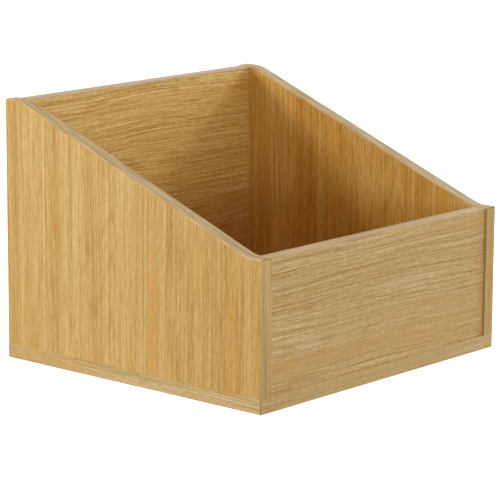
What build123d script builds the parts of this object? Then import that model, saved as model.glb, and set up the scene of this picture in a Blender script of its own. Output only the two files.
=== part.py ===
from build123d import *
import math
import os

# An open-topped book box with sloping sides, made of wood-effect board with glued edging strips.
# Millimetres. X runs along the front, -Y is the front and +Z is up. The origin is on the floor,
# in the middle of the footprint.

# Whole box
box_width = 450.0
box_depth = 416.0
rear_height = 325.5  # floor to the top of a side panel at the rear
front_height = 182.5  # floor to the top of a side panel at the front

# Outline of a side panel's top: level, crest bend, slope, foot bend, level
rear_level = 25.0  # rear edge to the corner where the level line meets the slope
front_level = 24.0  # front edge to the corner where the slope meets the level line
crest_radius = 45.0  # on the outer face of the edging
foot_radius = 38.0

# Board and edging
board = 18.0
edging = 2.0
edging_round = 0.8
edging_least_flat = 0.2  # what the rounding leaves of the edging's thickness

# Front and rear panels sit between the side panels
front_set_back = 3.0  # from the front edges of the side panels
rear_set_back = 2.0  # from their rear edges
top_set_down = 1.0  # below the level tops of the side panels

# Wooden dowels, half in the face of one board and half in the edge of the other
dowel_diameter = 8.0
dowel_length = 30.0
dowel_chamfer = 1.0
dowel_in_face = 12.0
dowel_end_gap = 0.5
dowel_glue_gap = 0.05
corner_dowel_margin = 40.0  # from the ends of a corner joint to its first dowel
corner_dowel_pitch = 76.0  # the most between two dowels

# One-piece connector screws, driven from below through the base into the wall panels
screw_length = 50.0
screw_head_diameter = 10.0
screw_head_rim = 1.0
screw_shoulder_diameter = 7.0
screw_shoulder_length = 14.0
screw_core_diameter = 5.2
screw_tip_diameter = 3.0
screw_tip_length = 3.0
screw_socket_width = 4.0
screw_socket_depth = 3.5
screw_sunk = 0.5  # head below the underside of the base
screw_gap = 0.05
screw_end_gap = 2.0
screw_margin = 50.0  # from the ends of a panel to its first screw
screw_pitch = 160.0  # the most between two screws

# Worked out from the sizes above
half_width = box_width / 2
half_depth = box_depth / 2
inner_half_width = half_width - board
arris = min(edging_round, edging - edging_least_flat)
slope_run = box_depth - rear_level - front_level
slope_angle = math.atan2(rear_height - front_height, slope_run)
front_panel_top = front_height - top_set_down
rear_panel_top = rear_height - top_set_down
front_panel_y = -half_depth + front_set_back + board / 2  # middle of the front panel
rear_panel_y = half_depth - rear_set_back - board / 2
side_panel_x = half_width - board / 2  # middle of the side panels


def places(first, last, pitch):
    """Even places from first to last, no further apart than pitch."""
    steps = math.ceil((last - first) / pitch)
    return [first + (last - first) * step / steps for step in range(steps + 1)]


def halfway(points):
    """The middle of each gap between neighbouring places."""
    return [(low + high) / 2 for low, high in zip(points, points[1:])]


def block(x_low, x_high, y_low, y_high, z_low, z_high):
    """A box between two corners."""
    size = Box(x_high - x_low, y_high - y_low, z_high - z_low)
    middle = ((x_low + x_high) / 2, (y_low + y_high) / 2, (z_low + z_high) / 2)
    return Pos(*middle) * size


def side_block(top_inset, end_inset):
    """A side panel's full thickness about X = 0, less what the insets take off its outline."""
    turn = top_inset * math.tan(slope_angle / 2)
    rear = half_depth - end_inset
    front = -half_depth + end_inset
    crest = (half_depth - rear_level + turn, rear_height - top_inset)
    foot = (-half_depth + front_level + turn, front_height - top_inset)
    outline = Polyline(
        (rear, board),
        (rear, rear_height - top_inset),
        crest,
        foot,
        (front, front_height - top_inset),
        (front, board),
        close=True,
    )
    face = make_face(outline)
    crest_vertex = face.vertices().sort_by_distance((*crest, 0))[0]
    face = fillet(crest_vertex, crest_radius - top_inset)
    foot_vertex = face.vertices().sort_by_distance((*foot, 0))[0]
    face = fillet(foot_vertex, foot_radius + top_inset)
    return extrude(Plane.YZ * face, board / 2, both=True)


def dowel():
    """A chamfered wooden dowel about the origin, along Z."""
    rod = Cylinder(dowel_diameter / 2, dowel_length)
    return chamfer(rod.edges(), dowel_chamfer)


def dowel_hole():
    """The hole in both boards that holds a dowel, with room for glue round it and at its ends."""
    return Cylinder(dowel_diameter / 2 + dowel_glue_gap, dowel_length + 2 * dowel_end_gap)


def screw_shape(gap, end_gap, below):
    """A screw turned about Z with its head's outer face at Z = 0, grown by the gaps for a hole."""
    head = screw_head_diameter / 2 + gap
    shoulder = screw_shoulder_diameter / 2 + gap
    core = screw_core_diameter / 2 + gap
    tip = screw_tip_diameter / 2 + gap
    shoulder_end = screw_shoulder_length + shoulder - core
    outline = Polyline(
        (0, -below),
        (head, -below),
        (head, screw_head_rim),
        (shoulder, screw_head_rim + head - shoulder),
        (shoulder, screw_shoulder_length),
        (core, shoulder_end),
        (core, screw_length - screw_tip_length),
        (tip, screw_length + end_gap),
        (0, screw_length + end_gap),
        close=True,
    )
    return revolve(Plane.XZ * make_face(outline), Axis.Z)


def screw():
    """A connector screw with a hexagon socket in its head."""
    socket = RegularPolygon(screw_socket_width / 2, 6, major_radius=False)
    return screw_shape(0, 0, 0) - extrude(socket, screw_socket_depth)


def screw_hole():
    """The countersunk hole through the base and the pilot hole in the wall panel above it."""
    return screw_shape(screw_gap, screw_end_gap, screw_sunk)


def put(shape, spots):
    """A copy of the shape at each spot, as separate solids."""
    return [spot * shape for spot in spots]


def cut(panel, tools):
    """The panel less every tool."""
    for tool in tools:
        panel = panel - tool
    return panel


# Where the fasteners go. The walls run from the top of the base.
wall_foot = board
side_screw_y = places(-half_depth + screw_margin, half_depth - screw_margin, screw_pitch)
cross_screw_x = places(-inner_half_width + screw_margin, inner_half_width - screw_margin, screw_pitch)
base_dowel_z = board - dowel_in_face + dowel_length / 2
corner_dowel_x = inner_half_width + dowel_in_face - dowel_length / 2
lowest_dowel = wall_foot + corner_dowel_margin
front_dowel_z = places(lowest_dowel, front_panel_top - corner_dowel_margin, corner_dowel_pitch)
rear_dowel_z = places(lowest_dowel, rear_panel_top - corner_dowel_margin, corner_dowel_pitch)
lying = Rot(0, 90, 0)

screw_spots = {}
dowel_spots = {}
for side, way in (("left", -1), ("right", 1)):
    wall_x = way * side_panel_x
    screw_spots[side] = [Pos(wall_x, y, screw_sunk) for y in side_screw_y]
    dowel_spots[side] = [Pos(wall_x, y, base_dowel_z) for y in halfway(side_screw_y)]
for end, wall_y, heights in (
    ("front", front_panel_y, front_dowel_z),
    ("rear", rear_panel_y, rear_dowel_z),
):
    screw_spots[end] = [Pos(x, wall_y, screw_sunk) for x in cross_screw_x]
    dowel_spots[end] = [Pos(x, wall_y, base_dowel_z) for x in halfway(cross_screw_x)]
    for side, side_way in (("left", -1), ("right", 1)):
        joint_x = side_way * corner_dowel_x
        dowel_spots[f"{end}_{side}"] = [Pos(joint_x, wall_y, z) * lying for z in heights]

screw_holes = {wall: put(screw_hole(), spots) for wall, spots in screw_spots.items()}
dowel_holes = {joint: put(dowel_hole(), spots) for joint, spots in dowel_spots.items()}
walls = ("left", "right", "front", "rear")

nodes = {}

# Base, with an edging strip on each of its four edges. The front and rear strips cover the ends
# of the left and right ones.
core_x = half_width - edging
core_y = half_depth - edging
base_round = block(-half_width, half_width, -half_depth, half_depth, 0, board)
base_round = fillet(base_round.edges(), arris)
base_holes = [hole for wall in walls for hole in screw_holes[wall] + dowel_holes[wall]]
nodes["base_panel"] = cut(block(-core_x, core_x, -core_y, core_y, 0, board), base_holes)
front_zone = block(-half_width, half_width, -half_depth, -core_y, 0, board)
rear_zone = block(-half_width, half_width, core_y, half_depth, 0, board)
left_zone = block(-half_width, -core_x, -core_y, core_y, 0, board)
right_zone = block(core_x, half_width, -core_y, core_y, 0, board)
nodes["base_front_edging"] = base_round & front_zone
nodes["base_rear_edging"] = base_round & rear_zone
nodes["base_left_edging"] = base_round & left_zone
nodes["base_right_edging"] = base_round & right_zone

# Side panels. One strip is bent along the whole top and covers the ends of the upright strips.
side_full = side_block(0, 0)
foot_edges = side_full.edges().filter_by_position(Axis.Z, board - edging, board + edging / 2)
outer_edges = [edge for edge in side_full.edges() if edge not in foot_edges]
side_round = fillet(outer_edges, arris)
side_under_top = side_block(edging, 0)
side_core = side_block(edging, edging)
side_upright = side_round & side_under_top
front_slab = block(-board, board, -half_depth, -core_y, wall_foot, rear_height)
rear_slab = block(-board, board, core_y, half_depth, wall_foot, rear_height)
for side, way in (("left", -1), ("right", 1)):
    spot = Pos(way * side_panel_x, 0, 0)
    corner_holes = dowel_holes[f"front_{side}"] + dowel_holes[f"rear_{side}"]
    wall_holes = screw_holes[side] + dowel_holes[side] + corner_holes
    nodes[f"{side}_side_panel"] = cut(spot * side_core, wall_holes)
    nodes[f"{side}_side_top_edging"] = spot * (side_round - side_under_top)
    nodes[f"{side}_side_front_edging"] = spot * (side_upright & front_slab)
    nodes[f"{side}_side_rear_edging"] = spot * (side_upright & rear_slab)

# Front and rear panels, with an edging strip along the top only
for end, wall_y, top in (
    ("front", front_panel_y, front_panel_top),
    ("rear", rear_panel_y, rear_panel_top),
):
    reach = (-inner_half_width, inner_half_width, wall_y - board / 2, wall_y + board / 2)
    panel_round = block(*reach, wall_foot, top)
    top_edges = panel_round.faces().sort_by(Axis.Z)[-1].edges().filter_by(Axis.X)
    panel_round = fillet(top_edges, arris)
    corner_holes = dowel_holes[f"{end}_left"] + dowel_holes[f"{end}_right"]
    wall_holes = screw_holes[end] + dowel_holes[end] + corner_holes
    nodes[f"{end}_panel"] = cut(block(*reach, wall_foot, top - edging), wall_holes)
    nodes[f"{end}_panel_top_edging"] = panel_round & block(*reach, top - edging, top)

# Fasteners, one group for each joint
for wall in walls:
    nodes[f"{wall}_base_screws"] = Compound(put(screw(), screw_spots[wall]))
    nodes[f"{wall}_base_dowels"] = Compound(put(dowel(), dowel_spots[wall]))
for end in ("front", "rear"):
    for side in ("left", "right"):
        joint = f"{end}_{side}"
        nodes[f"{joint}_corner_dowels"] = Compound(put(dowel(), dowel_spots[joint]))

os.makedirs("parts", exist_ok=True)
for name, shape in nodes.items():
    export_step(shape, f"parts/{name}.step")
print(f"{len(nodes)} nodes, slope {math.degrees(slope_angle):.2f} degrees")
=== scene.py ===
import math

import bmesh
import bpy
from mathutils import Matrix, Vector


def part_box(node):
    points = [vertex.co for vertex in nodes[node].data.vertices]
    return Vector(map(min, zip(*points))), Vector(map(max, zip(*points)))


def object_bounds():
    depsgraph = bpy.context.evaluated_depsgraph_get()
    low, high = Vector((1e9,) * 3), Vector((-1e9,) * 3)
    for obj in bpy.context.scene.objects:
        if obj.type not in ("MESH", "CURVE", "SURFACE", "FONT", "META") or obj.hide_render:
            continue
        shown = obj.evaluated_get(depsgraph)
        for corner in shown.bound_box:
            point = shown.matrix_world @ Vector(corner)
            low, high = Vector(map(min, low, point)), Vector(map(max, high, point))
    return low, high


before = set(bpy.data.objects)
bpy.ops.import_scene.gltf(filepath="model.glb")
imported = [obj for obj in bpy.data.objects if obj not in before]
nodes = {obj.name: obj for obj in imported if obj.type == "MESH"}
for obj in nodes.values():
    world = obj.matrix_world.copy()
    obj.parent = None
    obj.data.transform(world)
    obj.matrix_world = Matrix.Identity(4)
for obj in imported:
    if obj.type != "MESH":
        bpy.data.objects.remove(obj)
scene = bpy.context.scene
cadLow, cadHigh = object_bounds()
middle = (cadLow + cadHigh) / 2
print("frame loaded:", len(nodes), "nodes")

# Camera. Angles are in degrees, lengths in metres. An azimuth is from straight in front, towards
# the right.
cameraLook = {
    "aimOffset": (-0.0056, 0.0007, -0.0310),  # from the middle of the box
    "azimuth": -49.02,
    "elevation": 11.62,
    "roll": 0.31,
    "distance": 3.2706,
    "lens": 188.37,  # mm
    "sensor": 36,  # mm
    "farthest": 100,
}


def directionOf(look):
    azimuth = math.radians(look["azimuth"])
    elevation = math.radians(look["elevation"])
    level = math.cos(elevation)
    return Vector((math.sin(azimuth) * level, -math.cos(azimuth) * level, math.sin(elevation)))


def placeCamera(look):
    azimuth = math.radians(look["azimuth"])
    roll = math.radians(look["roll"])
    back = directionOf(look)
    right = Vector((math.cos(azimuth), math.sin(azimuth), 0))
    up = back.cross(right)
    rolledRight = math.cos(roll) * right + math.sin(roll) * up
    rolledUp = math.cos(roll) * up - math.sin(roll) * right
    data = bpy.data.cameras.new("camera")
    data.sensor_width = look["sensor"]
    data.lens = look["lens"]
    data.clip_end = look["farthest"]
    camera = bpy.data.objects.new("camera", data)
    place = middle + Vector(look["aimOffset"]) + back * look["distance"]
    turn = Matrix((rolledRight, rolledUp, back)).transposed()
    camera.matrix_world = Matrix.Translation(place) @ turn.to_4x4()
    scene.collection.objects.link(camera)
    scene.camera = camera


placeCamera(cameraLook)
print("camera placed")

# Studio. The sky is bright near the horizon, like a white backdrop, and dim overhead.
studioLook = {
    "softboxes": {
        "keyLight": {
            "azimuth": 80,
            "elevation": 32,
            "distance": 3.0,
            "size": 0.6,
            "power": 56.0,
            "color": (0.84, 0.95, 1.0),
        },
        "sideLight": {
            "azimuth": -150,
            "elevation": 34,
            "distance": 3.0,
            "size": 0.7,
            "power": 47.0,
            "color": (1.0, 0.95, 0.84),
        },
    },
    "lightAim": (0.0, 0.0, 0.18),
    "backdrop": (3.28, 0.08, 0.16),  # strength, and the heights where it starts and ends fading
    "sky": (0.29, 0.50, 0.70),
    "zenith": 0.11,
    "floorSize": 40.0,
    "floorColor": (0.5, 0.5, 0.5, 1),
    "floorRoughness": 0.9,
    "floorGlow": 0.165,
    "floorSeen": 0.95,  # glow of the floor as the camera sees it, so that it stays white
}


def fillSocket(tree, socket, value):
    if isinstance(value, bpy.types.NodeSocket):
        tree.links.new(value, socket)
    else:
        socket.default_value = value


def addNode(tree, kind, inputs=None, **settings):
    node = tree.nodes.new(kind)
    for setting, value in settings.items():
        setattr(node, setting, value)
    for socket, value in (inputs or {}).items():
        fillSocket(tree, node.inputs[socket], value)
    return node


def rangeOf(tree, value, low, high, outLow=0.0, outHigh=1.0, shape="LINEAR"):
    inputs = {"Value": value, "From Min": low, "From Max": high}
    inputs.update({"To Min": outLow, "To Max": outHigh})
    node = addNode(tree, "ShaderNodeMapRange", inputs, interpolation_type=shape)
    return node.outputs["Result"]


def mathOf(tree, operation, first, second=0.0):
    return addNode(tree, "ShaderNodeMath", {0: first, 1: second}, operation=operation).outputs[0]


def newMaterial(name):
    material = bpy.data.materials.new(name)
    material.use_nodes = True
    return material, material.node_tree, material.node_tree.nodes["Principled BSDF"]


def addSoftbox(name, box, aim):
    outward = directionOf(box)
    data = bpy.data.lights.new(name, "AREA")
    data.shape = "SQUARE"
    data.size = box["size"]
    data.energy = box["power"]
    data.color = box["color"]
    light = bpy.data.objects.new(name, data)
    light.visible_camera = False
    place = Vector(aim) + outward * box["distance"]
    turn = outward.to_track_quat("Z", "Y").to_matrix().to_4x4()
    light.matrix_world = Matrix.Translation(place) @ turn
    scene.collection.objects.link(light)


def buildSky(look):
    world = bpy.data.worlds.new("studioWorld")
    world.use_nodes = True
    tree = world.node_tree
    tree.nodes.clear()
    direction = addNode(tree, "ShaderNodeTexCoord").outputs["Generated"]
    height = addNode(tree, "ShaderNodeSeparateXYZ", {"Vector": direction}).outputs["Z"]
    strength, fadeStart, fadeEnd = look["backdrop"]
    backdrop = rangeOf(tree, height, fadeStart, fadeEnd, strength, 0.0, "SMOOTHSTEP")
    strength, fadeStart, fadeEnd = look["sky"]
    sky = rangeOf(tree, height, fadeStart, fadeEnd, strength, look["zenith"], "SMOOTHSTEP")
    glow = addNode(tree, "ShaderNodeBackground", {"Strength": mathOf(tree, "ADD", backdrop, sky)})
    glow.inputs["Color"].default_value = (1, 1, 1, 1)
    addNode(tree, "ShaderNodeOutputWorld", {"Surface": glow.outputs["Background"]})
    scene.world = world


def layFloor(look):
    mesh = bpy.data.meshes.new("studioFloor")
    sheet = bmesh.new()
    bmesh.ops.create_grid(sheet, x_segments=1, y_segments=1, size=look["floorSize"] / 2)
    sheet.to_mesh(mesh)
    sheet.free()
    floor = bpy.data.objects.new("studioFloor", mesh)
    scene.collection.objects.link(floor)
    material, tree, shader = newMaterial("paleFloor")
    shader.inputs["Base Color"].default_value = look["floorColor"]
    shader.inputs["Roughness"].default_value = look["floorRoughness"]
    shader.inputs["Specular IOR Level"].default_value = 0.0
    shader.inputs["Emission Color"].default_value = (1, 1, 1, 1)
    seen = addNode(tree, "ShaderNodeLightPath").outputs["Is Camera Ray"]
    glow = rangeOf(tree, seen, 0.0, 1.0, look["floorGlow"], look["floorSeen"])
    tree.links.new(glow, shader.inputs["Emission Strength"])
    mesh.materials.append(material)


for name, box in studioLook["softboxes"].items():
    addSoftbox(name, box, studioLook["lightAim"])
buildSky(studioLook)
layFloor(studioLook)
scene.view_settings.view_transform = "Standard"
print("studio lit")


def stretched(tree, vector, factors):
    node = addNode(tree, "ShaderNodeVectorMath", {0: vector, 1: factors}, operation="MULTIPLY")
    return node.outputs[0]


def noiseOf(tree, vector, pattern):
    inputs = {"Vector": stretched(tree, vector, pattern["scale"]), "Scale": 1.0}
    inputs["Detail"] = pattern["detail"]
    inputs["Roughness"] = pattern.get("roughness", 0.5)
    return addNode(tree, "ShaderNodeTexNoise", inputs).outputs[0]


def wavesOf(tree, vector, pattern):  # a noise about zero
    aboutZero = mathOf(tree, "SUBTRACT", noiseOf(tree, vector, pattern), 0.5)
    return mathOf(tree, "MULTIPLY", aboutZero, pattern["gain"])


def patchesOf(tree, vector, pattern):  # 0 where the noise is under the start, 1 over the end
    return rangeOf(tree, noiseOf(tree, vector, pattern), pattern["start"], pattern["end"])


def movedBy(tree, vector, step):
    node = addNode(tree, "ShaderNodeVectorMath", {0: vector, 1: step}, operation="ADD")
    return node.outputs[0]


def movedBySeed(tree, vector, seed):
    step = addNode(tree, "ShaderNodeCombineXYZ", {"X": seed, "Y": seed, "Z": seed}).outputs[0]
    return movedBy(tree, vector, step)


def mixColor(tree, factor, first, second, blend="MIX"):
    node = addNode(tree, "ShaderNodeMix", data_type="RGBA", blend_type=blend)
    for name, value in (("Factor_Float", factor), ("A_Color", first), ("B_Color", second)):
        socket = next(item for item in node.inputs if item.identifier == name)
        fillSocket(tree, socket, value)
    return next(item for item in node.outputs if item.identifier == "Result_Color")


def rampOf(tree, factor, stops):
    node = addNode(tree, "ShaderNodeValToRGB", {"Fac": factor})
    ramp = node.color_ramp
    while len(ramp.elements) < len(stops):
        ramp.elements.new(0.5)
    for element, (position, color) in zip(ramp.elements, stops):
        element.position = position
        element.color = color
    return node.outputs["Color"]


def newGroup(name, inputs, outputs):
    group = bpy.data.node_groups.new(name, "ShaderNodeTree")
    for socketName, kind, value in inputs:
        socket = group.interface.new_socket(socketName, in_out="INPUT", socket_type=kind)
        if value is not None:
            socket.default_value = value
    for socketName, kind in outputs:
        group.interface.new_socket(socketName, in_out="OUTPUT", socket_type=kind)
    return group, group.nodes.new("NodeGroupInput"), group.nodes.new("NodeGroupOutput")


def placeGroup(tree, group, inputs):
    return addNode(tree, "ShaderNodeGroup", inputs, node_tree=group).outputs


# Oak decor. X runs along the grain, Y across it and Z through the board. Colours are linear. A
# pattern's scale is how fine it is along X, Y and Z, its gain how strong.
grainLook = {
    "dark": (0.535, 0.254, 0.031, 1),
    "body": (0.700, 0.424, 0.100, 1),
    "light": (0.880, 0.620, 0.240, 1),
    "orange": (0.740, 0.385, 0.072, 1),
    "pore": (0.460, 0.202, 0.023, 1),
    "fleck": (0.880, 0.640, 0.280, 1),
    "slowWander": {"scale": (3.0, 7.0, 60.0), "detail": 1.0, "gain": 6.0},
    "quickWander": {"scale": (22.0, 30.0, 60.0), "detail": 1.0, "gain": 0.35},
    "bands": {"scale": (0.8, 30.0, 60.0), "detail": 2.0, "gain": 0.9},
    "fibres": {"scale": (3.0, 440.0, 90.0), "detail": 3.0, "roughness": 0.9, "gain": 2.9},
    "dashes": {"scale": (130.0, 900.0, 150.0), "detail": 1.0, "roughness": 0.6, "gain": 1.1},
    "ringField": {"scale": (1.1, 15.0, 40.0), "detail": 1.0},
    "ringBreaks": {"scale": (14.0, 300.0, 90.0), "detail": 3.0, "start": 0.36, "end": 0.62},
    "ringCount": 44.0,
    "ringWidth": 0.50,  # of the way from one ring to the next
    "ringDepth": 0.34,
    "ringBalance": 0.13,  # what the rings darken on average, given back to the whole board
    "warmth": {"scale": (1.7, 24.0, 45.0), "detail": 2.0, "start": 0.50, "end": 0.70},
    "warmthDepth": 0.6,
    "flecks": {"scale": (55.0, 520.0, 150.0), "detail": 1.0, "start": 0.60, "end": 0.76},
    "fleckDepth": 0.35,
    "pores": {"scale": (40.0, 800.0, 220.0), "detail": 1.0, "start": 0.58, "end": 0.72},
    "poreDepth": 0.45,
    "roughness": 0.44,
    "poreRoughness": 0.16,  # added where a pore is
    "dashRoughness": 0.05,
    "dashHeight": 0.5,  # of a pore's depth
}


def buildOakGrain(look):
    group, start, end = newGroup(
        "oakGrain",
        [
            ("Vector", "NodeSocketVector", None),
            ("Figure Size", "NodeSocketFloat", 1.0),
            ("Contrast", "NodeSocketFloat", 1.0),
            ("Wander", "NodeSocketFloat", 0.004),
            ("Banding", "NodeSocketFloat", 1.0),
            ("Seed", "NodeSocketFloat", 0.0),
            ("Tint", "NodeSocketColor", (1, 1, 1, 1)),
        ],
        [
            ("Color", "NodeSocketColor"),
            ("Roughness", "NodeSocketFloat"),
            ("Height", "NodeSocketFloat"),
        ],
    )
    contrast = start.outputs["Contrast"]
    size = mathOf(group, "DIVIDE", 1.0, start.outputs["Figure Size"])
    inputs = {0: start.outputs["Vector"], "Scale": size}
    scaled = addNode(group, "ShaderNodeVectorMath", inputs, operation="SCALE").outputs[0]
    place = movedBySeed(group, scaled, start.outputs["Seed"])

    # The lines wander a little across the board, slowly over its length and faintly over a few cm.
    slow = wavesOf(group, place, look["slowWander"])
    quick = wavesOf(group, place, look["quickWander"])
    sideways = mathOf(group, "MULTIPLY", mathOf(group, "ADD", slow, quick), start.outputs["Wander"])
    step = addNode(group, "ShaderNodeCombineXYZ", {"Y": sideways}).outputs[0]
    line = movedBy(group, place, step)

    bands = wavesOf(group, line, look["bands"])
    bands = mathOf(group, "MULTIPLY", bands, start.outputs["Banding"])
    fibres = wavesOf(group, line, look["fibres"])
    dashes = wavesOf(group, line, look["dashes"])
    sums = mathOf(group, "ADD", mathOf(group, "ADD", bands, fibres), dashes)

    # Growth rings: thin dark lines along the contours of a slow field, broken up into dashes.
    field = mathOf(group, "MULTIPLY", noiseOf(group, line, look["ringField"]), look["ringCount"])
    wave = mathOf(group, "PINGPONG", field, 1.0)
    ringLine = rangeOf(group, wave, 0.0, look["ringWidth"], 1.0, 0.0, "SMOOTHSTEP")
    broken = patchesOf(group, line, look["ringBreaks"])
    ringShade = mathOf(group, "MULTIPLY", ringLine, broken)
    rings = mathOf(group, "SUBTRACT", look["ringBalance"], ringShade)
    sums = mathOf(group, "ADD", sums, mathOf(group, "MULTIPLY", rings, look["ringDepth"]))
    tone = mathOf(group, "ADD", mathOf(group, "MULTIPLY", sums, contrast), 0.5)
    color = rampOf(group, tone, [(0.0, look["dark"]), (0.5, look["body"]), (1.0, look["light"])])

    warmth = mathOf(group, "MULTIPLY", patchesOf(group, line, look["warmth"]), look["warmthDepth"])
    color = mixColor(group, warmth, color, look["orange"])
    flecks = mathOf(group, "MULTIPLY", patchesOf(group, line, look["flecks"]), look["fleckDepth"])
    color = mixColor(group, flecks, color, look["fleck"])
    pores = patchesOf(group, line, look["pores"])
    poreShade = mathOf(group, "MULTIPLY", mathOf(group, "MULTIPLY", pores, contrast), look["poreDepth"])
    color = mixColor(group, poreShade, color, look["pore"])
    # The tint shifts a board's colour; on the front panel it is also painted sheen.
    color = mixColor(group, 1.0, color, start.outputs["Tint"], "MULTIPLY")

    poreRoughness = mathOf(group, "MULTIPLY", pores, look["poreRoughness"])
    dashRoughness = mathOf(group, "MULTIPLY", dashes, look["dashRoughness"])
    roughness = mathOf(group, "ADD", poreRoughness, look["roughness"])
    roughness = mathOf(group, "ADD", roughness, dashRoughness)
    height = mathOf(group, "SUBTRACT", mathOf(group, "MULTIPLY", dashes, look["dashHeight"]), pores)
    group.links.new(color, end.inputs["Color"])
    group.links.new(roughness, end.inputs["Roughness"])
    group.links.new(height, end.inputs["Height"])
    return group


oakGrain = buildOakGrain(grainLook)

# Chipboard, seen only where a board is cut: flat chips in glue.
chipLook = {
    "chipDark": (0.26, 0.15, 0.065, 1),
    "chipLight": (0.62, 0.45, 0.25, 1),
    "glue": (0.30, 0.20, 0.11, 1),
    "fineness": 330.0,
    "flatness": 2.6,
    "gapStart": 0.45,  # from the middle of a chip towards the glue
    "gapEnd": 0.75,
}


def buildChipboard(look):
    group, start, end = newGroup(
        "chipboardCore",
        [("Vector", "NodeSocketVector", None)],
        [("Color", "NodeSocketColor"), ("Height", "NodeSocketFloat")],
    )
    flat = stretched(group, start.outputs["Vector"], (1.0, 1.0, look["flatness"]))
    inputs = {"Vector": flat, "Scale": look["fineness"]}
    chips = addNode(group, "ShaderNodeTexVoronoi", inputs).outputs
    tone = addNode(group, "ShaderNodeSeparateColor", {"Color": chips["Color"]}).outputs[0]
    color = mixColor(group, tone, look["chipDark"], look["chipLight"])
    gap = rangeOf(group, chips["Distance"], look["gapStart"], look["gapEnd"])
    color = mixColor(group, gap, color, look["glue"])
    group.links.new(color, end.inputs["Color"])
    group.links.new(mathOf(group, "SUBTRACT", tone, gap), end.inputs["Height"])
    return group


chipboardCore = buildChipboard(chipLook)

# Boards. The axes are the part's axes along the grain, across it and through the board.
boardLook = {
    "thickness": 0.018,
    "decorThickness": 0.0003,
    "coreRoughness": 0.85,
    "bumpHeight": 0.00002,
    "boards": {
        "left_side_panel": {
            "axes": "ZYX",
            "size": 1.0,
            "contrast": 0.82,
            "wander": 0.0020,
            "banding": 1.4,
            "seed": 3.1,
            "tintAndSheen": (1.00, 1.01, 1.05, 1),
        },
        "right_side_panel": {
            "axes": "ZYX",
            "size": 1.0,
            "contrast": 0.95,
            "wander": 0.0020,
            "banding": 1.2,
            "seed": 7.7,
            "tintAndSheen": (0.95, 0.92, 0.86, 1),
        },
        "front_panel": {
            "axes": "XZY",
            "size": 1.0,
            "contrast": 0.90,
            "wander": 0.0040,
            "banding": 0.55,
            "seed": 12.4,
            # painted sheen: the front panel's bluer tint lightens its face as a whitish reflection
            # would
            "tintAndSheen": (1.01, 1.06, 1.45, 1),
        },
        "rear_panel": {
            "axes": "XZY",
            "size": 0.90,
            "contrast": 1.15,
            "wander": 0.0035,
            "banding": 0.30,
            "seed": 19.6,
            "tintAndSheen": (1.04, 1.07, 1.13, 1),
        },
        "base_panel": {
            "axes": "XYZ",
            "size": 1.0,
            "contrast": 0.95,
            "wander": 0.0035,
            "banding": 1.0,
            "seed": 25.3,
            "tintAndSheen": (1.0, 1.0, 1.0, 1),
        },
    },
}


def onOwnAxes(tree, node, axes):
    low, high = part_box(node)
    local = addNode(tree, "ShaderNodeTexCoord").outputs["Object"]
    moved = addNode(tree, "ShaderNodeMapping", {"Vector": local, "Location": -(low + high) / 2})
    parts = addNode(tree, "ShaderNodeSeparateXYZ", {"Vector": moved.outputs[0]}).outputs
    inputs = {"X": parts[axes[0]], "Y": parts[axes[1]], "Z": parts[axes[2]]}
    return addNode(tree, "ShaderNodeCombineXYZ", inputs).outputs[0]


def addBump(tree, shader, height, distance, strength=1.0):
    inputs = {"Height": height, "Distance": distance, "Strength": strength}
    bump = addNode(tree, "ShaderNodeBump", inputs)
    tree.links.new(bump.outputs["Normal"], shader.inputs["Normal"])


def finishNode(node, material):
    nodes[node].data.materials.clear()
    nodes[node].data.materials.append(material)


def oakBoard(node, look, common):
    material, tree, shader = newMaterial("oakBoard." + node)
    vector = onOwnAxes(tree, node, look["axes"])
    inputs = {"Vector": vector, "Figure Size": look["size"], "Contrast": look["contrast"]}
    inputs.update({"Wander": look["wander"], "Banding": look["banding"]})
    inputs.update({"Seed": look["seed"], "Tint": look["tintAndSheen"]})
    grain = placeGroup(tree, oakGrain, inputs)
    chips = placeGroup(tree, chipboardCore, {"Vector": vector})
    depth = addNode(tree, "ShaderNodeSeparateXYZ", {"Vector": vector}).outputs["Z"]
    coreDepth = common["thickness"] / 2 - common["decorThickness"]
    inside = mathOf(tree, "LESS_THAN", mathOf(tree, "ABSOLUTE", depth), coreDepth)
    color = mixColor(tree, inside, grain["Color"], chips["Color"])
    tree.links.new(color, shader.inputs["Base Color"])
    coreRoughness = mathOf(tree, "MULTIPLY", inside, common["coreRoughness"])
    roughness = mathOf(tree, "MAXIMUM", grain["Roughness"], coreRoughness)
    tree.links.new(roughness, shader.inputs["Roughness"])
    inputs = {"Factor": inside, "A": grain["Height"], "B": chips["Height"]}
    height = addNode(tree, "ShaderNodeMix", inputs, data_type="FLOAT").outputs["Result"]
    addBump(tree, shader, height, common["bumpHeight"])
    return material


for node, look in boardLook["boards"].items():
    finishNode(node, oakBoard(node, look, boardLook))
print("boards finished")
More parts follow.
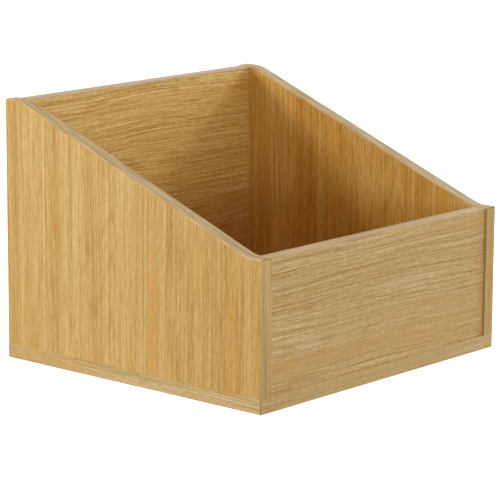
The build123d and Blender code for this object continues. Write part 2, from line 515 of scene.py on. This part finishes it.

# Edging strips: the same oak print on plastic, in fine lines along the strip. Their axes run along
# the strip, across it and through it. A strip without a side tint of its own has the common one.
# The bluer, lighter tints of the four top strips are painted sheen; the dark side tint of the right
# front strip is painted shade.
edgingLook = {
    "dark": (0.470, 0.270, 0.085, 1),
    "body": (0.672, 0.426, 0.146, 1),
    "light": (0.840, 0.580, 0.235, 1),
    "lines": {"scale": (5.0, 330.0, 60.0), "detail": 2.0, "gain": 2.0},
    "fineLines": {"scale": (28.0, 900.0, 90.0), "detail": 2.0, "gain": 1.2},
    "boardContrast": 0.7,  # where a strip has the boards' grain
    "sideTintAndShade": (1.00, 0.93, 0.82, 1),
    "cutEnd": (0.68, 0.58, 0.26, 1),  # the unprinted ends, times the printed colour
    "turnStart": 0.55,  # how far a surface faces sideways or endways to take those colours
    "turnEnd": 0.80,
    "worn": (0.840, 0.640, 0.350, 1),
    "wornPatches": {"scale": (38.0, 120.0, 120.0), "detail": 3.0, "start": 0.50, "end": 0.68},
    "wornDepth": 0.30,
    "wornPolish": 0.3,  # taken off the roughness
    "arris": 0.0011,  # how far in from a strip's two long edges the wear reaches
    "roughness": 0.50,
    "lineRoughness": 0.10,
    "bumpHeight": 0.00003,
    "bumpStrength": 0.6,
    "strips": {
        "base_front_edging": {
            "axes": "XZY",
            "seed": 1.3,
            "boardLike": 1.0,
            "tintAndSheen": (0.98, 1.12, 1.82, 1),
        },
        "base_rear_edging": {
            "axes": "XZY",
            "seed": 2.9,
            "boardLike": 1.0,
            "tintAndSheen": (0.98, 1.12, 1.82, 1),
        },
        "base_left_edging": {
            "axes": "YZX",
            "seed": 4.2,
            "boardLike": 1.0,
            "tintAndSheen": (0.98, 1.14, 1.86, 1),
        },
        "base_right_edging": {
            "axes": "YZX",
            "seed": 5.8,
            "boardLike": 1.0,
            "tintAndSheen": (0.98, 1.14, 1.86, 1),
        },
        # painted sheen: the side top strips' tints lift blue and lighten, as a grazing reflection of
        # the bright surroundings would
        "left_side_top_edging": {
            "axes": "YXZ",
            "seed": 6.1,
            "boardLike": 0.0,
            "tintAndSheen": (1.09, 1.15, 1.55, 1),
        },
        "right_side_top_edging": {
            "axes": "YXZ",
            "seed": 7.4,
            "boardLike": 0.0,
            "tintAndSheen": (1.00, 1.06, 1.52, 1),
            "sideTintAndShade": (1.00, 0.98, 0.95, 1),
        },
        "left_side_front_edging": {
            "axes": "ZXY",
            "seed": 8.6,
            "boardLike": 0.0,
            "tintAndSheen": (1.02, 1.00, 0.97, 1),
        },
        "right_side_front_edging": {
            "axes": "ZXY",
            "seed": 9.5,
            "boardLike": 0.0,
            "tintAndSheen": (0.95, 0.91, 0.85, 1),
            # painted shade: this side tint darkens the strip's inner side, which stands in the shaded
            # recess beside the front panel
            "sideTintAndShade": (0.68, 0.58, 0.42, 1),
        },
        "left_side_rear_edging": {
            "axes": "ZXY",
            "seed": 10.7,
            "boardLike": 0.0,
            "tintAndSheen": (1.0, 1.0, 1.0, 1),
        },
        "right_side_rear_edging": {
            "axes": "ZXY",
            "seed": 11.2,
            "boardLike": 0.0,
            "tintAndSheen": (1.0, 1.0, 1.0, 1),
        },
        # painted sheen: the front and rear top strips' tints lift blue and lighten, as a grazing
        # reflection would
        "front_panel_top_edging": {
            "axes": "XYZ",
            "seed": 12.9,
            "boardLike": 0.0,
            "tintAndSheen": (1.09, 1.16, 1.78, 1),
        },
        "rear_panel_top_edging": {
            "axes": "XYZ",
            "seed": 13.4,
            "boardLike": 0.0,
            "tintAndSheen": (1.00, 1.11, 1.88, 1),
        },
    },
}


def buildEdgingPrint(look):
    group, start, end = newGroup(
        "edgingPrint",
        [
            ("Vector", "NodeSocketVector", None),
            ("Half Width", "NodeSocketFloat", 0.009),
            ("Side Facing", "NodeSocketFloat", 0.0),
            ("Side Tint And Shade", "NodeSocketColor", (1, 1, 1, 1)),
            ("End Facing", "NodeSocketFloat", 0.0),
            ("Board Likeness", "NodeSocketFloat", 0.0),
            ("Seed", "NodeSocketFloat", 0.0),
            ("Tint", "NodeSocketColor", (1, 1, 1, 1)),
        ],
        [
            ("Color", "NodeSocketColor"),
            ("Roughness", "NodeSocketFloat"),
            ("Height", "NodeSocketFloat"),
        ],
    )
    given = start.outputs
    place = movedBySeed(group, given["Vector"], given["Seed"])
    lines = wavesOf(group, place, look["lines"])
    fine = wavesOf(group, place, look["fineLines"])
    relief = mathOf(group, "ADD", lines, fine)
    tone = mathOf(group, "ADD", relief, 0.5)
    color = rampOf(group, tone, [(0.0, look["dark"]), (0.5, look["body"]), (1.0, look["light"])])
    inputs = {"Vector": given["Vector"], "Contrast": look["boardContrast"], "Seed": given["Seed"]}
    grain = placeGroup(group, oakGrain, inputs)
    color = mixColor(group, given["Board Likeness"], color, grain["Color"])
    # The tint shifts a strip's colour; on the top strips it is painted sheen.
    color = mixColor(group, 1.0, color, given["Tint"], "MULTIPLY")

    # Wear on the two long edges, in patches.
    across = addNode(group, "ShaderNodeSeparateXYZ", {"Vector": given["Vector"]}).outputs["Y"]
    fromEdge = mathOf(group, "SUBTRACT", given["Half Width"], mathOf(group, "ABSOLUTE", across))
    onArris = rangeOf(group, fromEdge, 0.0, look["arris"], 1.0, 0.0)
    rubbed = mathOf(group, "MULTIPLY", onArris, patchesOf(group, place, look["wornPatches"]))
    worn = mathOf(group, "MULTIPLY", rubbed, look["wornDepth"])
    color = mixColor(group, worn, color, look["worn"])

    # The side tint colours a strip's sides; on the right front strip it is painted shade.
    onSide = rangeOf(group, given["Side Facing"], look["turnStart"], look["turnEnd"])
    color = mixColor(group, onSide, color, given["Side Tint And Shade"], "MULTIPLY")
    onEnd = rangeOf(group, given["End Facing"], look["turnStart"], look["turnEnd"])
    color = mixColor(group, onEnd, color, look["cutEnd"], "MULTIPLY")
    lineRoughness = mathOf(group, "MULTIPLY", fine, look["lineRoughness"])
    roughness = mathOf(group, "ADD", lineRoughness, look["roughness"])
    polish = mathOf(group, "MULTIPLY", worn, look["wornPolish"])
    group.links.new(color, end.inputs["Color"])
    group.links.new(mathOf(group, "SUBTRACT", roughness, polish), end.inputs["Roughness"])
    group.links.new(relief, end.inputs["Height"])
    return group


edgingPrint = buildEdgingPrint(edgingLook)


def oakStrip(node, look, common):
    material, tree, shader = newMaterial("oakStrip." + node)
    along, across = look["axes"][:2]
    low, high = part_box(node)
    width = (high - low)["XYZ".index(across)]
    normal = addNode(tree, "ShaderNodeTexCoord").outputs["Normal"]
    facing = addNode(tree, "ShaderNodeSeparateXYZ", {"Vector": normal}).outputs
    inputs = {"Vector": onOwnAxes(tree, node, look["axes"]), "Half Width": width / 2}
    inputs["Side Facing"] = mathOf(tree, "ABSOLUTE", facing[across])
    inputs["Side Tint And Shade"] = look.get("sideTintAndShade", common["sideTintAndShade"])
    inputs["End Facing"] = mathOf(tree, "ABSOLUTE", facing[along])
    inputs["Board Likeness"] = look["boardLike"]
    inputs.update({"Seed": look["seed"], "Tint": look["tintAndSheen"]})
    lines = placeGroup(tree, edgingPrint, inputs)
    tree.links.new(lines["Color"], shader.inputs["Base Color"])
    tree.links.new(lines["Roughness"], shader.inputs["Roughness"])
    addBump(tree, shader, lines["Height"], common["bumpHeight"], common["bumpStrength"])
    return material


for node, look in edgingLook["strips"].items():
    finishNode(node, oakStrip(node, look, edgingLook))
print("edging finished")

# Fasteners. They have no grain direction, so their patterns are as fine along all three axes.
steelLook = {
    "color": (0.66, 0.66, 0.63, 1),
    "stain": (0.46, 0.44, 0.38, 1),
    "stains": {"scale": (420.0, 420.0, 420.0), "detail": 3.0},
    "stainStart": 0.35,
    "stainEnd": 0.75,
    "leastRoughness": 0.24,
    "mostRoughness": 0.46,
    "pitting": {"scale": (1500.0, 1500.0, 1500.0), "detail": 2.0},
    "bumpHeight": 0.00002,
    "bumpStrength": 0.4,
}


def cloudyRoughness(tree, shader, cloud, look):
    # nearly all of a noise lies between 0.2 and 0.8
    roughness = rangeOf(tree, cloud, 0.2, 0.8, look["leastRoughness"], look["mostRoughness"])
    tree.links.new(roughness, shader.inputs["Roughness"])


def zincSteel(look):
    material, tree, shader = newMaterial("zincSteel")
    local = addNode(tree, "ShaderNodeTexCoord").outputs["Object"]
    cloud = noiseOf(tree, local, look["stains"])
    stained = rangeOf(tree, cloud, look["stainStart"], look["stainEnd"])
    color = mixColor(tree, stained, look["color"], look["stain"])
    tree.links.new(color, shader.inputs["Base Color"])
    shader.inputs["Metallic"].default_value = 1.0
    cloudyRoughness(tree, shader, cloud, look)
    pitting = noiseOf(tree, local, look["pitting"])
    addBump(tree, shader, pitting, look["bumpHeight"], look["bumpStrength"])
    return material


beechLook = {
    "body": (0.60, 0.42, 0.25, 1),
    "ray": (0.44, 0.27, 0.14, 1),
    "clouds": {"scale": (160.0, 160.0, 160.0), "detail": 3.0},
    "cloudDepth": 0.35,
    "rays": {"scale": (900.0, 900.0, 900.0), "detail": 2.0, "start": 0.52, "end": 0.70},
    "rayDepth": 0.6,
    "leastRoughness": 0.60,
    "mostRoughness": 0.78,
    "bumpHeight": 0.00005,
    "bumpStrength": 0.5,
}


def beechWood(look):
    material, tree, shader = newMaterial("beechWood")
    local = addNode(tree, "ShaderNodeTexCoord").outputs["Object"]
    cloud = noiseOf(tree, local, look["clouds"])
    rays = patchesOf(tree, local, look["rays"])
    color = mixColor(tree, mathOf(tree, "MULTIPLY", rays, look["rayDepth"]), look["body"], look["ray"])
    color = mixColor(tree, mathOf(tree, "MULTIPLY", cloud, look["cloudDepth"]), color, look["ray"])
    tree.links.new(color, shader.inputs["Base Color"])
    cloudyRoughness(tree, shader, cloud, look)
    addBump(tree, shader, rays, look["bumpHeight"], look["bumpStrength"])
    return material


zinc = zincSteel(steelLook)
beech = beechWood(beechLook)
for node in nodes:
    if node.endswith("_screws"):
        finishNode(node, zinc)
    if node.endswith("_dowels"):
        finishNode(node, beech)
print("fasteners finished")
